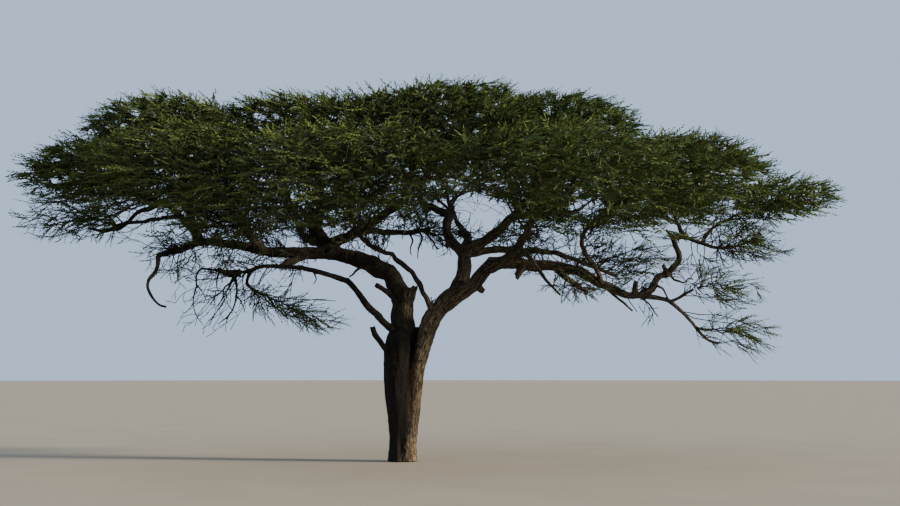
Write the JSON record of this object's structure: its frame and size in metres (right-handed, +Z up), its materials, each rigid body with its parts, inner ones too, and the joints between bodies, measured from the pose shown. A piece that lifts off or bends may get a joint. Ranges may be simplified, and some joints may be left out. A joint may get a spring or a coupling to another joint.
{
  "type": "umbrella acacia tree",
  "caption": "Savanna acacia tree with a forked trunk, spreading crooked boughs and a wide, flat-topped crown of fine foliage.",
  "frame": {"origin": "middle of the flat cut under the trunk, at ground level", "axes": "+Z up, +X along the crown's longest spread to the right of the view, -Y towards the viewer"},
  "size_m": [25.1799, 20.582, 12.4372],
  "materials": {
    "bark": "rough fissured bark",
    "dead_wood": "weathered dead wood",
    "foliage": "matte fine leaves",
    "bare_twigs": "matte bare twigs"
  },
  "bodies": {
    "root": {"trunk": "bark", "left_stem": "bark", "right_stem": "bark", "left_bough": "bark", "left_hook": "dead_wood", "left_riser": "bark", "left_dome_riser": "bark", "left_arch": "bark", "left_reach": "bark", "front_left_bough": "bark", "lower_left_bough": "bark", "lower_left_arm": "bark", "left_droop": "bark", "centre_left_bough": "bark", "centre_low_bough": "bark", "back_left_bough": "bark", "inner_stem": "bark", "outer_stem": "bark", "middle_bough": "bark", "crook_bough": "bark", "back_bough": "bark", "rise_bough": "bark", "upper_right_bough": "bark", "back_right_bough": "bark", "right_bough": "bark", "front_right_bough": "bark", "dead_bough": "dead_wood", "stub_bough": "bark", "curl_bough": "bark", "under_bough": "dead_wood", "right_knee": "bark", "right_arm": "bark", "right_riser": "bark", "right_spur": "bark", "right_low": "bark", "right_fan_bough": "bark", "left_tip": "foliage", "left_dome": "foliage", "front_left": "foliage", "front_middle_left": "foliage", "front_middle_right": "foliage", "front_right": "foliage", "right_side": "foliage", "right_tip": "foliage", "back_right": "foliage", "back_middle": "foliage", "back_left": "foliage", "top_left": "foliage", "top_front": "foliage", "top_back": "foliage", "top_right": "foliage", "left_fringe": "foliage", "left_clump": "foliage", "left_hanging": "bare_twigs", "centre_spray": "foliage", "right_mid_spray": "foliage", "right_fringe": "foliage", "right_fan_spray": "foliage", "right_low_spray": "foliage", "under_spray": "foliage"}
  },
  "joints": []
}
